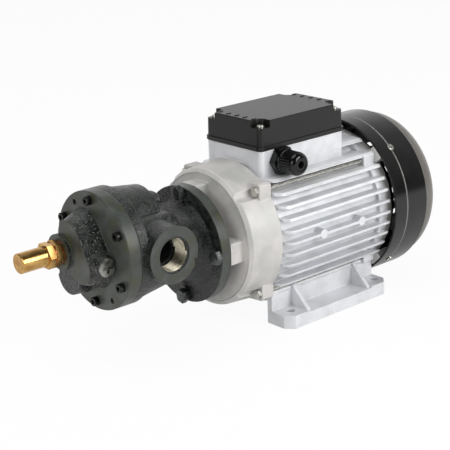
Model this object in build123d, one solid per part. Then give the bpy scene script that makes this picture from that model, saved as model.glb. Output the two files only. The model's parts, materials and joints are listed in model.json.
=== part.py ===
"""External gear pump with a relief valve, flange-mounted on a foot-mounted fan-cooled motor.

Millimetres, +Z up. +X runs along the shaft from the pump to the fan, and the visible port faces -Y.
The origin is the centre of the four foot bolt holes, on the surface that the feet stand on.
Heights named z_... are measured from the shaft axis, and places along the shaft are X values.
"""
from build123d import *
import math
import os

# Shaft line and feet
shaft_height = 85.0
foot_holes_long = 116.3
foot_holes_wide = 123.6
foot_hole = 9.0
foot_length = 139.0
foot_middle_x = -3.1
foot_width = 150.8
foot_plate = 13.0
foot_recess = 1.5
foot_pad_long = 26.0
foot_corner = 8.0
foot_web_y = 48.0
foot_web = 6.0
gusset = 4.0

# Motor housing
housing_front = -73.0
housing_length = 139.8
housing_bore = 120.0
housing_wall = 6.0
fin_tip_radius = 75.9
fin_pitch = 11.1
fin_first_z = 66.4
fin_count = 13
fin_thick = 2.6
fin_setback = 2.0
fin_end_round = 9.0
collar_radius = 70.0
collar_long = 9.0
rear_ear_long = 15.0
badge_boss = 9.0
badge_boss_span = 52.0

# Box cast on the housing, its cover and its gland
box_front = -70.3
box_length = 110.2
box_width = 77.0
box_corner = 5.0
box_wall = 4.0
z_box_rim = 81.0
z_box_floor = 57.0
box_floor_skin = 3.0
box_post = 11.0
box_post_inset = 7.0
box_gasket_thick = 0.8
cover_height = 27.2
cover_rim_proud = 1.2
cover_rim_high = 3.6
cover_draft = 1.5
cover_wall = 2.5
cover_notch_deep = 6.6
cover_notch_radius = 6.4
cover_ridge_count = 5
cover_ridge_edge = 1.9
cover_ridge_inset = 6.5
box_screw = 4.0
box_screw_bite = 14.0
gland_x = -46.0
z_gland = 69.5
gland_thread = 20.0
gland_flats = 24.0
gland_hole = 10.5
cable_hole = 7.2
gland_inside = 4.5
terminal_inset = 14.0
terminal_long = 22.0
terminal_wide = 44.0
terminal_high = 11.0
terminal_rows = (-15.0, 0.0, 15.0)
terminal_columns = (6.0, 16.0)
terminal_stud = 3.9
terminal_nut = 7.0
capacitor_gap = 5.2
capacitor_inset = 3.0
capacitor_radius = 15.0

# Drive-end shield
shield_depth = 52.1
shield_ring_radius = 66.4
shield_rear_radius = 68.5
shield_dish_deep = 11.0
shield_ring_setback = 15.2
shield_ring_round = 3.5
shield_hub_radius = 37.0
shield_web = 8.0
spigot_long = 6.0
lug_width = 20.0
lug_long = 18.0
ear_half_y = 54.0
ear_half_z = 57.0
ear_long = 14.0
tie_bolt_y = 49.3
tie_bolt_z = 49.9
tie_bolt = 5.0
tie_head_flats = 8.0
tie_head_high = 3.5

# Pump flange and its bolts
flange_radius = 55.7
flange_thick = 10.5
flange_bolt_circle = 101.0
flange_bolt = 6.0
flange_bolt_flats = 10.0
flange_bolt_head = 4.0
flange_washer = 1.2
register_radius = 34.0
register_deep = 2.5

# Gears and their shafts
gear_module = 3.0
gear_teeth = 12
gear_width = 24.0
pressure_angle = 20.0
gear_lean = 30.0
gear_backlash = 0.12
pump_shaft = 16.0
bush_wall = 2.5
bush_long = 12.0
rear_drive_bush_long = 17.0
running_gap = 0.04
side_gap = 0.05
tip_gap = 0.08
key_width = 5.0
key_high = 5.0
key_long = 14.0

# Pump head
head_radius = 54.7
body_length = 91.4
body_rim = 9.5
gasket_thick = 0.4
head_cover_thick = 12.9
bearing_block = 11.5
lobe_root_radius = 36.5
lobe_taper = 7.5
lobe_long = 39.0
idler_boss_radius = 21.0
idler_boss_long = 14.0
neck_radius = 30.0
shoulder_y = -20.0
z_shoulder = 29.0
shoulder_radius = 15.5
shoulder_long = 44.0
seal_outer = 30.0
seal_wide = 7.0
seal_setback = 25.0
coupling_room = 21.0

# Ports
port_thread_major = 33.25
port_thread_minor = 30.29
port_thread_deep = 19.0
port_boss_radius = 26.5
port_passage = 24.0
port_reach = 62.0
port_behind_gasket = 29.4

# Cover screws and dowels
cover_screw_circle = 94.0
cover_screw = 5.0
cover_screw_head = 8.5
cover_screw_count = 6
cover_screw_deep = 14.0
dowel = 5.0
dowel_long = 16.0
dowel_sunk = 2.0

# Cover castings
boss_high = 19.2
boss_root_radius = 23.0
boss_top_radius = 15.2
boss_low_offset = -11.0
valve_y = 31.0
z_valve = 15.0
valve_boss_radius = 16.5
valve_boss_high = 22.2
valve_room_drop = 25.0
valve_room_radius = 18.5
valve_room_high = 14.0
plug_z = 10.5
plug_behind_face = 8.6
plug_face_y = -21.5
plug_boss_radius = 9.5
plug_head = 14.5
plug_head_high = 4.0
plug_thread = 9.7

# Relief valve
relief_y = -17.0
z_relief = 12.0
relief_passage = 7.0
valve_bore = 17.0
valve_seat_bore = 11.0
valve_seat_wall = 6.0
poppet_long = 12.0
spring_wire = 1.6
spring_outer = 13.0
spring_turns = 6
adjuster = 8.0
valve_flats = 21.5
valve_hex_high = 6.0
cap_hex_high = 6.5
cap_radius = 9.2
cap_long = 26.0
sealing_washer_radius = 10.8
sealing_washer = 1.6
cap_washer = 1.2

# Coupling
coupling_outer = 30.0
coupling_long = 38.0
coupling_shift = -2.0
coupling_gap = 1.0

# Rotor, bearings and stator
front_bearing_outer = 47.0
front_bearing_bore = 20.0
front_bearing_wide = 14.0
front_bearing_x = -99.0
rear_bearing_outer = 40.0
rear_bearing_bore = 17.0
rear_bearing_wide = 12.0
rear_bearing_x = 61.0
race_gap = 3.6
bearing_spring = 1.6
core_front = -45.0
core_long = 70.0
stator_bore = 70.0
air_gap = 0.5
slot_count = 24
winding_head = 22.0
rotor_shaft = 26.0
end_ring_long = 8.0

# Rear shield, fan and fan cover
rear_shield_plate = 7.0
rear_shield_radius = 71.0
cover_lug_wide = 14.0
cover_lug_end = 94.0
cover_lug_foot = 1.2
fan_cover_gap = 1.4
fan_cover_radius = 82.2
fan_cover_wall = 2.0
fan_cover_long = 46.5
fan_cover_line = 17.0
cover_fix = 4.0
cover_fix_head = 7.0
cap_step = 3.7
cap_shell_end = 137.0
cap_shell_round = 14.0
cap_shell_wall = 2.0
cap_rib = 4.0
grille_rings = 5
grille_slot = 4.0
grille_bar = 4.0
grille_spokes = 8
fan_x = 82.0
fan_radius = 70.0
fan_hub_radius = 13.0
fan_plate = 2.5
fan_blade_wide = 21.0
fan_blade = 2.2
fan_blades = 7
fan_shaft = 14.0

# Places worked out from the sizes above
housing_rear = housing_front + housing_length
tube_radius = housing_bore / 2 + housing_wall
joint_x = housing_front - shield_depth
flange_front = joint_x - flange_thick
body_front = joint_x - body_length
cover_back = body_front - gasket_thick
cover_front = cover_back - head_cover_thick
valve_face = cover_front - valve_boss_high
gear_distance = gear_module * gear_teeth
gear_outer_radius = gear_distance / 2 + gear_module
lean_y = math.sin(math.radians(gear_lean))
lean_z = math.cos(math.radians(gear_lean))
driven_y = gear_distance * lean_y
z_driven = gear_distance * lean_z
head_y = driven_y / 2
z_head = z_driven / 2
gear_front = body_front + bearing_block
gear_back = gear_front + gear_width + side_gap
port_x = cover_back + port_behind_gasket
bush_radius = pump_shaft / 2 + bush_wall
seal_front = joint_x - seal_setback - seal_wide
coupling_front = joint_x - coupling_long / 2 + coupling_shift
coupling_middle = coupling_front + coupling_long / 2
cover_screw_radius = cover_screw_circle / 2
fan_cover_front = housing_rear + fan_cover_gap
fan_cover_back = fan_cover_front + fan_cover_long
cover_fix_x = fan_cover_front + fan_cover_line
inner_cover = fan_cover_radius - fan_cover_wall
cap_shell_radius = fan_cover_radius - cap_step
box_middle_x = box_front + box_length / 2
box_post_x = box_length / 2 - box_post_inset
box_post_y = box_width / 2 - box_post_inset
cover_ridge_span = box_width - 2 * (box_post_inset + cover_notch_radius + cover_ridge_edge)
cover_ridge_pitch = cover_ridge_span / (cover_ridge_count - 1)
terminal_front = box_front + box_wall + terminal_inset
capacitor_front = terminal_front + terminal_long + capacitor_gap
capacitor_back = box_front + box_length - box_wall - capacitor_inset
z_cover_base = z_box_rim + box_gasket_thick
z_cover_top = z_cover_base + cover_height
quarter_turns = (0, 90, 180, 270)
low = (Align.CENTER, Align.CENTER, Align.MIN)


def on_shaft(x, y=0.0, z=0.0):
    """Plane facing +X, with y and z measured from the shaft axis."""
    return Plane(origin=(x, y, shaft_height + z), x_dir=(0, 1, 0), z_dir=(1, 0, 0))


def rod(x0, x1, radius, y=0.0, z=0.0):
    return on_shaft(x0, y, z) * Cylinder(radius, x1 - x0, align=low)


def tube(x0, x1, outer, inner, y=0.0, z=0.0):
    return rod(x0, x1, outer, y, z) - rod(x0, x1, inner, y, z)


def turned(profile, y=0.0, z=0.0):
    """Solid of revolution along X from (x, radius) points."""
    face = make_face(Polyline(*profile, close=True))
    return Pos(0, y, shaft_height + z) * revolve(face, axis=Axis.X)


def hexagon(x0, x1, flats, y=0.0, z=0.0, turn=0.0):
    shape = RegularPolygon(flats / 2, 6, major_radius=False, rotation=turn)
    return extrude(on_shaft(x0, y, z) * shape, x1 - x0)


def slab(x0, x1, y0, y1, z0, z1):
    """Block between two corners, its heights measured from the shaft axis."""
    middle = ((x0 + x1) / 2, (y0 + y1) / 2, shaft_height + (z0 + z1) / 2)
    return Pos(*middle) * Box(x1 - x0, y1 - y0, z1 - z0)


def across(x, y0, y1, z, radius):
    """Round bar along Y from y0 to y1."""
    middle = Pos(x, (y0 + y1) / 2, shaft_height + z)
    return middle * Rot(90, 0, 0) * Cylinder(radius, abs(y1 - y0))


def around(solid, angle, y=0.0, z=0.0):
    """Copy of a solid turned about the shaft axis, or about an axis beside it."""
    axis = Axis((0, y, shaft_height + z), (1, 0, 0))
    return solid.rotate(axis, angle)


def circle_places(radius, angles, y=0.0, z=0.0):
    """Places on a circle about an axis, with each angle measured from straight up towards +Y."""
    for angle in angles:
        a = math.radians(angle)
        yield y + radius * math.sin(a), z + radius * math.cos(a)


def cover_screw_places():
    step = 360 / cover_screw_count
    angles = [step * i for i in range(cover_screw_count)]
    return list(circle_places(cover_screw_radius, angles, head_y, z_head))


def dowel_places():
    return list(circle_places(cover_screw_radius, (gear_lean + 180, gear_lean), head_y, z_head))


def flange_bolt_places():
    return list(circle_places(flange_bolt_circle / 2, quarter_turns))


def tie_bolt_places():
    return [(sy * tie_bolt_y, sz * tie_bolt_z) for sy in (-1, 1) for sz in (-1, 1)]


def box_post_places():
    return [(box_middle_x + sx * box_post_x, sy * box_post_y) for sx in (-1, 1) for sy in (-1, 1)]


def gear_axes():
    return ((0.0, 0.0), (driven_y, z_driven))


def head_slot(x0, length, radius, taper=0.0):
    """Two joined round ends about the gear axes, extruded along +X or, if length is negative, -X."""
    shape = SlotCenterToCenter(gear_distance, 2 * radius, rotation=90 - gear_lean)
    return extrude(on_shaft(x0, head_y, z_head) * shape, length, taper=taper)


def all_of(solids):
    total = None
    for solid in solids:
        total = solid if total is None else total + solid
    return total


# ---------------------------------------------------------------- pump head

def make_front_cover():
    cover = rod(cover_front, cover_back, head_radius, head_y, z_head)
    cover = fillet(cover.edges().group_by(Axis.X)[0], 1.2)
    # Raised casting over both shafts, drafted in towards its machined face
    low_y = head_y + boss_low_offset * lean_y
    low_z = z_head + boss_low_offset * lean_z
    span = gear_distance / 2 - boss_low_offset
    mid_y = (driven_y + low_y) / 2
    mid_z = (z_driven + low_z) / 2
    draft = math.degrees(math.atan((boss_root_radius - boss_top_radius) / boss_high))
    root = SlotCenterToCenter(span, 2 * boss_root_radius, rotation=90 - gear_lean)
    cover += extrude(on_shaft(cover_front, mid_y, mid_z) * root, -boss_high, taper=draft)
    # Valve room below the valve axis, and the round boss that carries the adjuster
    room = SlotCenterToCenter(valve_room_drop, 2 * valve_room_radius, rotation=90)
    room_z = z_valve - valve_room_drop / 2
    cover += extrude(on_shaft(cover_front, valve_y - 1, room_z) * room, -valve_room_high, taper=6)
    cover += rod(valve_face, cover_front, valve_boss_radius, valve_y, z_valve)
    # Boss of the gallery plug, on the near side
    plug_x = cover_front - plug_behind_face
    cover += across(plug_x, plug_face_y, low_y, plug_z, plug_boss_radius)
    # Valve bore from the front, seat, and the two ways that it joins
    seat_x = cover_back - valve_seat_wall
    cover -= rod(valve_face, seat_x, valve_bore / 2, valve_y, z_valve)
    cover -= rod(seat_x, cover_back, valve_seat_bore / 2, valve_y, z_valve)
    gallery = plug_thread / 2 + 0.1
    cover -= across(plug_x, plug_face_y, valve_y, plug_z, gallery)
    cover -= across(plug_x, plug_face_y, plug_face_y + 1.0, plug_z, plug_head / 2 + 0.3)
    cover -= rod(plug_x, cover_back, relief_passage / 2, relief_y, z_relief)
    for y, z in cover_screw_places():
        cover -= rod(cover_front, cover_back, cover_screw / 2 + 0.3, y, z)
        cover -= rod(cover_front - boss_high, cover_front, cover_screw_head / 2 + 0.6, y, z)
    for y, z in dowel_places():
        cover -= rod(cover_front, cover_back, dowel / 2, y, z)
    return cover


def make_cover_gasket():
    ring = rod(cover_back, body_front, head_radius - 0.2, head_y, z_head)
    ring -= head_slot(cover_back, gasket_thick, gear_outer_radius + 1.0)
    ring -= rod(cover_back, body_front, relief_passage / 2 + 0.5, relief_y, z_relief)
    ring -= rod(cover_back, body_front, valve_seat_bore / 2 + 0.5, valve_y, z_valve)
    for y, z in cover_screw_places() + dowel_places():
        ring -= rod(cover_back, body_front, cover_screw / 2 + 0.3, y, z)
    return ring


def make_pump_body():
    body = rod(body_front, body_front + body_rim, head_radius, head_y, z_head)
    body += head_slot(body_front, lobe_long + body_rim, lobe_root_radius, taper=lobe_taper)
    boss_end = body_front + body_rim + lobe_long + idler_boss_long
    body += rod(gear_front, boss_end, idler_boss_radius, driven_y, z_driven)
    body += rod(gear_front, flange_front, neck_radius)
    body += rod(flange_front, joint_x, flange_radius)
    flare = [(flange_front - 22, neck_radius - 1), (flange_front - 14, neck_radius + 1.5),
             (flange_front - 6, neck_radius + 6), (flange_front, neck_radius + 13),
             (flange_front, 0), (flange_front - 22, 0)]
    body += turned(flare)
    # Rounded shoulder beside the near port
    shoulder = rod(body_front, body_front + body_rim + shoulder_long, shoulder_radius,
                   shoulder_y, z_shoulder)
    body += fillet(shoulder.edges().group_by(Axis.X)[-1], 6)
    # Ports on both sides, square to the shaft
    for side in (-1, 1):
        face_y = head_y + side * port_reach
        body += across(port_x, face_y, head_y, z_head, port_boss_radius)
    # Gear chamber and bearings
    depth = bearing_block + gear_width + side_gap
    body -= head_slot(body_front, depth, gear_outer_radius + tip_gap)
    body -= rod(gear_back, gear_back + rear_drive_bush_long, bush_radius)
    body -= rod(gear_back, gear_back + bush_long, bush_radius, driven_y, z_driven)
    body -= rod(gear_back, joint_x, pump_shaft / 2 + 1.0)
    body -= rod(seal_front, joint_x, seal_outer / 2)
    body -= rod(seal_front + seal_wide, joint_x, coupling_room)
    body -= rod(joint_x - register_deep, joint_x, register_radius)
    for side in (-1, 1):
        face_y = head_y + side * port_reach
        body -= across(port_x, face_y, face_y - side * port_thread_deep, z_head, port_thread_minor / 2)
        body -= across(port_x, face_y, face_y - side * 1.5, z_head, port_thread_major / 2)
        inner_y = head_y + side * gear_outer_radius * 0.55
        body -= across(port_x, face_y, inner_y, z_head, port_passage / 2)
    body -= rod(body_front, port_x, valve_seat_bore / 2, valve_y, z_valve)
    body -= rod(body_front, port_x, relief_passage / 2, relief_y, z_relief)
    for y, z in cover_screw_places():
        body -= rod(body_front, body_front + cover_screw_deep, cover_screw / 2 + 0.02, y, z)
    for y, z in dowel_places():
        body -= rod(body_front, body_front + dowel_long, dowel / 2, y, z)
    for y, z in flange_bolt_places():
        body -= rod(flange_front, joint_x, flange_bolt / 2 + 0.4, y, z)
        body -= rod(flange_front - 30, flange_front, flange_bolt_flats * 0.75, y, z)
    return body


def make_bearing_block():
    length = gear_front - side_gap - cover_back
    block = head_slot(cover_back, length, gear_outer_radius + tip_gap - running_gap)
    for y, z in gear_axes():
        block -= rod(cover_back, gear_front, bush_radius, y, z)
    block -= rod(cover_back, gear_front, valve_seat_bore / 2 + 0.3, valve_y, z_valve)
    return block - rod(cover_back, gear_front, relief_passage / 2 + 0.3, relief_y, z_relief)


def make_front_bushes():
    inner = pump_shaft / 2 + running_gap
    back = gear_front - side_gap
    return [tube(body_front, back, bush_radius, inner, y, z) for y, z in gear_axes()]


def make_rear_bushes():
    inner = pump_shaft / 2 + running_gap
    back = gear_back
    drive = tube(back, back + rear_drive_bush_long, bush_radius, inner)
    idler = tube(back, back + bush_long, bush_radius, inner, driven_y, z_driven)
    return [drive, idler]


def involute_gear(turn):
    """Gear blank in the Y-Z plane, centred on the shaft axis, with involute flanks."""
    pitch_radius = gear_module * gear_teeth / 2
    base_radius = pitch_radius * math.cos(math.radians(pressure_angle))
    root_radius = pitch_radius - 1.25 * gear_module
    tip_radius = pitch_radius + gear_module

    def spread(radius):
        ratio = max(radius / base_radius, 1.0)
        tangent = math.sqrt(ratio * ratio - 1.0)
        return tangent - math.atan(tangent)

    half_tooth = (math.pi * gear_module / 2 - gear_backlash) / gear_distance
    half_tooth += spread(pitch_radius)
    steps = 5
    radii = [base_radius + (tip_radius - base_radius) * i / (steps - 1) for i in range(steps)]
    flank = [(r, half_tooth - spread(r)) for r in radii]
    outline = []
    for tooth in range(gear_teeth):
        centre = math.radians(turn) + 2 * math.pi * tooth / gear_teeth
        side = [(root_radius, half_tooth)] + flank
        for r, a in side:
            outline.append((r * math.cos(centre - a), r * math.sin(centre - a)))
        for r, a in reversed(side):
            outline.append((r * math.cos(centre + a), r * math.sin(centre + a)))
    face = make_face(Polyline(*outline, close=True))
    return extrude(on_shaft(gear_front) * face, gear_width)


def keyway(x0, x1, shaft_radius, turn):
    """Cutter for a key, half in the shaft and half in the hub."""
    key = slab(x0, x1, -key_width / 2, key_width / 2, shaft_radius - key_high / 2,
               shaft_radius + key_high / 2)
    return around(key, turn)


def make_drive_gear():
    # A tooth of one gear faces a space of the other on the line between the axes
    gear = involute_gear(90 - gear_lean)
    gear -= rod(gear_front, gear_back, pump_shaft / 2)
    gear -= keyway(gear_front, gear_front + gear_width, pump_shaft / 2, 180)
    return gear


def make_driven_gear():
    gear = involute_gear(90 - gear_lean + 180 + 180 / gear_teeth)
    gear -= rod(gear_front, gear_back, pump_shaft / 2)
    return Pos(0, driven_y, z_driven) * gear


def make_drive_gear_key():
    return keyway(gear_front, gear_front + gear_width, pump_shaft / 2, 180)


def make_drive_shaft():
    end = coupling_middle - coupling_gap / 2
    shaft = rod(body_front + 1.0, end, pump_shaft / 2)
    shaft = chamfer(shaft.edges().group_by(Axis.X)[0], 0.8)
    shaft -= make_drive_gear_key()
    shaft -= keyway(end - key_long, end, pump_shaft / 2, 0)
    return shaft


def make_driven_shaft():
    end = gear_back + bush_long - 1.0
    shaft = rod(body_front + 1.0, end, pump_shaft / 2, driven_y, z_driven)
    return chamfer(shaft.edges().filter_by(GeomType.CIRCLE), 0.8)


def make_shaft_seal():
    case = tube(seal_front, seal_front + seal_wide, seal_outer / 2, seal_outer / 2 - 2.0)
    case += tube(seal_front + seal_wide - 2.0, seal_front + seal_wide, seal_outer / 2, pump_shaft / 2 + 2)
    lip = [(seal_front + seal_wide, pump_shaft / 2 + 1.0), (seal_front + seal_wide, pump_shaft / 2 + 3.5),
           (seal_front + 1.5, pump_shaft / 2 + 2.5), (seal_front + 1.5, pump_shaft / 2 + running_gap),
           (seal_front + 3.0, pump_shaft / 2 + running_gap)]
    return case + turned(lip)


def make_cover_screws():
    screws = []
    for y, z in cover_screw_places():
        head = rod(cover_front - cover_screw, cover_front, cover_screw_head / 2, y, z)
        head = chamfer(head.edges().group_by(Axis.X)[0], 0.5)
        shank = rod(cover_front, body_front + cover_screw_deep - 2.0, cover_screw / 2, y, z)
        socket = hexagon(cover_front - cover_screw, cover_front - cover_screw + 2.6, 4.0, y, z)
        screws.append(head + shank - socket)
    return screws


def make_dowel_pins():
    start = cover_front + dowel_sunk
    return [rod(start, body_front + dowel_long - 1.0, dowel / 2, y, z) for y, z in dowel_places()]


def make_gallery_plug():
    plug_x = cover_front - plug_behind_face
    seat_y = plug_face_y + 1.0
    plug = across(plug_x, seat_y - plug_head_high, seat_y, plug_z, plug_head / 2)
    plug = chamfer(plug.edges().group_by(Axis.Y)[0], 0.8)
    plug += across(plug_x, seat_y, seat_y + 8.0, plug_z, plug_thread / 2)
    socket = RegularPolygon(2.6, 6, major_radius=False)
    place = Plane(origin=(plug_x, seat_y - plug_head_high, shaft_height + plug_z), z_dir=(0, 1, 0))
    return plug - extrude(place * socket, 4.5)


# ---------------------------------------------------------------- relief valve

def make_valve_poppet():
    seat_x = cover_back - valve_seat_wall
    outer = valve_bore / 2 - running_gap
    inner = spring_outer / 2 + 0.3
    profile = [(seat_x - poppet_long, inner), (seat_x - poppet_long, outer), (seat_x - 3.0, outer),
               (seat_x - 3.0, valve_seat_bore / 2 + 1.0), (seat_x, valve_seat_bore / 2 + 1.0),
               (seat_x, 0), (seat_x - 5.0, 0), (seat_x - 5.0, inner)]
    return turned(profile, valve_y, z_valve)


def spring_span():
    front = valve_face + sealing_washer + 8.0
    back = cover_back - valve_seat_wall - 5.0
    return front, back


def make_valve_spring():
    front, back = spring_span()
    radius = (spring_outer - spring_wire) / 2
    height = back - front - spring_wire - 0.1
    path = Helix(height / spring_turns, height, radius)
    section = Plane(origin=path @ 0, z_dir=path % 0) * Circle(spring_wire / 2)
    coil = sweep(section, path)
    place = on_shaft(front + spring_wire / 2 + 0.05, valve_y, z_valve)
    return place * coil


def make_valve_spring_seat():
    front, _ = spring_span()
    seat = rod(front - 3.0, front, valve_bore / 2 - 0.3, valve_y, z_valve)
    seat += rod(front, front + 4.0, spring_outer / 2 - spring_wire - 0.4, valve_y, z_valve)
    return seat


def valve_stack():
    """X of each joint in the stack on the valve boss, from the boss outwards."""
    hex_back = valve_face - sealing_washer
    hex_front = hex_back - valve_hex_high
    cap_back = hex_front - cap_washer
    cap_hex_front = cap_back - cap_hex_high
    return hex_back, hex_front, cap_back, cap_hex_front


def make_valve_body():
    hex_back, hex_front, cap_back, _ = valve_stack()
    body = hexagon(hex_front, hex_back, valve_flats, valve_y, z_valve, turn=12)
    body += rod(hex_back, valve_face + 5.0, valve_bore / 2 - 0.05, valve_y, z_valve)
    body += rod(hex_front - 8.0, hex_front, 6.5, valve_y, z_valve)
    body -= rod(hex_front - 8.0, valve_face + 5.0, adjuster / 2, valve_y, z_valve)
    return body


def make_adjusting_screw():
    front, _ = spring_span()
    _, hex_front, _, _ = valve_stack()
    screw = rod(hex_front - 22.0, front - 3.0, adjuster / 2, valve_y, z_valve)
    slot = slab(hex_front - 22.0, hex_front - 20.0, valve_y - adjuster, valve_y + adjuster,
                z_valve - 0.6, z_valve + 0.6)
    return screw - slot


def make_valve_washers():
    hex_back, hex_front, cap_back, _ = valve_stack()
    inner = valve_bore / 2 + 0.1
    first = tube(hex_back, valve_face, sealing_washer_radius, inner, valve_y, z_valve)
    second = tube(cap_back, hex_front, sealing_washer_radius, 6.8, valve_y, z_valve)
    return [first, second]


def make_valve_cap():
    _, _, cap_back, cap_hex_front = valve_stack()
    cap = hexagon(cap_hex_front, cap_back, valve_flats, valve_y, z_valve)
    tip = cap_hex_front - cap_long
    cap += rod(tip, cap_hex_front, cap_radius, valve_y, z_valve)
    cap = chamfer(cap.edges().group_by(Axis.X)[0], 0.6)
    cap -= rod(tip + 4.0, cap_back, 6.6, valve_y, z_valve)
    return cap


# ---------------------------------------------------------------- flange bolts and coupling

def make_flange_bolts():
    seat = flange_front - flange_washer
    bolts = []
    for index, (y, z) in enumerate(flange_bolt_places()):
        head = hexagon(seat - flange_bolt_head, seat, flange_bolt_flats, y, z, turn=15 + 20 * index)
        head += rod(seat, joint_x + lug_long - 5.0, flange_bolt / 2, y, z)
        bolts.append(head)
    return bolts


def make_flange_washers():
    back = flange_front
    return [tube(back - flange_washer, back, flange_bolt_flats * 0.6, flange_bolt / 2 + 0.2, y, z)
            for y, z in flange_bolt_places()]


def make_coupling_sleeve():
    front = coupling_front
    back = front + coupling_long
    sleeve = rod(front, back, coupling_outer / 2)
    sleeve = chamfer(sleeve.edges().filter_by(GeomType.CIRCLE), 1.0)
    sleeve -= rod(front, back, pump_shaft / 2)
    return sleeve - keyway(front, back, pump_shaft / 2, 0)


def make_coupling_keys():
    end = coupling_middle - coupling_gap / 2
    start = coupling_middle + coupling_gap / 2
    pump_key = keyway(end - key_long, end, pump_shaft / 2, 0)
    motor_key = keyway(start, start + key_long, pump_shaft / 2, 0)
    return [pump_key, motor_key]


# ---------------------------------------------------------------- motor

def make_front_shield():
    ring_front = joint_x + shield_ring_setback
    dish = joint_x + shield_dish_deep
    hub = shield_hub_radius
    outer = [(joint_x, hub), (dish, hub + 2.0), (ring_front + 1.0, shield_ring_radius - 5.0),
             (ring_front, shield_ring_radius - shield_ring_round),
             (ring_front + shield_ring_round, shield_ring_radius),
             (housing_front, shield_rear_radius), (housing_front, housing_bore / 2),
             (housing_front + spigot_long, housing_bore / 2), (housing_front + spigot_long, 0),
             (joint_x, 0)]
    shield = turned(outer)
    for angle in quarter_turns:
        lug = slab(joint_x, joint_x + lug_long, -lug_width / 2, lug_width / 2, hub - 3, flange_radius)
        shield += around(lug, angle)
    ears = slab(housing_front - ear_long, housing_front, -ear_half_y, ear_half_y, -ear_half_z, ear_half_z)
    shield += ears & rod(housing_front - ear_long, housing_front, math.hypot(ear_half_y, ear_half_z) - 1.5)
    # Room for the winding heads behind the web, the bearing seat and the coupling room
    inner = housing_bore / 2 - 4.0
    web_back = ring_front + shield_web
    shield -= rod(web_back, housing_front + spigot_long, inner)
    seat_back = front_bearing_x + front_bearing_wide
    shield += rod(joint_x + 3.0, seat_back + 2.0, front_bearing_outer / 2 + 6.0)
    shield -= rod(front_bearing_x, seat_back + 2.0, front_bearing_outer / 2)
    shield -= rod(joint_x, front_bearing_x - 3.0, coupling_room)
    shield -= rod(joint_x, front_bearing_x, front_bearing_bore / 2 + 3.0)
    shield += tube(joint_x - register_deep + 0.3, joint_x, register_radius - 0.1, coupling_room)
    for y, z in flange_bolt_places():
        shield -= rod(joint_x, joint_x + lug_long - 4.0, flange_bolt / 2 + 0.02, y, z)
    for y, z in tie_bolt_places():
        shield -= rod(housing_front - ear_long, housing_front, tie_bolt / 2 + 0.3, y, z)
        shield -= rod(joint_x + 5, housing_front - ear_long, tie_head_flats * 0.8, y, z)
    return shield


def fin_heights():
    return [fin_first_z - fin_pitch * i for i in range(fin_count)]


def make_fins():
    """Level fins inside a round outline whose front edge is rounded."""
    front = housing_front + fin_setback
    plates = all_of(slab(front, housing_rear, -fin_tip_radius, fin_tip_radius,
                         z - fin_thick / 2, z + fin_thick / 2) for z in fin_heights())
    outline = rod(front, housing_rear, fin_tip_radius)
    outline = fillet(outline.edges().group_by(Axis.X)[0], fin_end_round)
    return plates & outline


def make_feet():
    front = foot_middle_x - foot_length / 2
    rear = front + foot_length
    z_base = -shaft_height
    z_plate = z_base + foot_plate
    half = foot_width / 2
    feet = None
    for side in (-1, 1):
        inner = side * (foot_web_y - foot_web / 2)
        y0, y1 = sorted((inner, side * half))
        plate = slab(front, rear, y0, y1, z_base, z_plate)
        corners = plate.edges().filter_by(Axis.Z).group_by(Axis.Y)[0 if side < 0 else -1]
        plate = chamfer(corners, foot_corner)
        recess_y0, recess_y1 = sorted((side * (foot_web_y + foot_web / 2), side * half))
        plate -= slab(front + foot_pad_long, rear - foot_pad_long, recess_y0, recess_y1,
                      z_plate - foot_recess, z_plate)
        w0, w1 = sorted((side * (foot_web_y - foot_web / 2), side * (foot_web_y + foot_web / 2)))
        web = slab(front, rear, w0, w1, z_base + foot_plate / 2, -tube_radius * 0.62)
        feet = plate + web if feet is None else feet + plate + web
        for x in (front + foot_pad_long, rear - foot_pad_long - gusset):
            points = [(side * foot_web_y, z_plate - 2), (side * (half - 3), z_plate - 2),
                      (side * (half - 3), z_plate), (side * foot_web_y, z_plate + 24)]
            feet += extrude(on_shaft(x) * make_face(Polyline(*points, close=True)), gusset)
    return feet


def make_box_base():
    base = slab(box_front, box_front + box_length, -box_width / 2, box_width / 2, 30, z_box_rim)
    base = fillet(base.edges().filter_by(Axis.Z), box_corner)
    room = slab(box_front + box_wall, box_front + box_length - box_wall,
                -box_width / 2 + box_wall, box_width / 2 - box_wall, z_box_floor, z_box_rim)
    for x, y in box_post_places():
        room -= Pos(x, y, shaft_height + z_box_floor) * Cylinder(box_post / 2, 100, align=low)
        sx = box_post if x > box_middle_x else -box_post
        sy = box_post if y > 0 else -box_post
        x0, x1 = sorted((x, x + sx))
        y0, y1 = sorted((y, y + sy))
        room -= slab(x0, x1, y - box_post / 2, y + box_post / 2, z_box_floor, z_box_rim)
        room -= slab(x - box_post / 2, x + box_post / 2, y0, y1, z_box_floor, z_box_rim)
    return base, room


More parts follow.
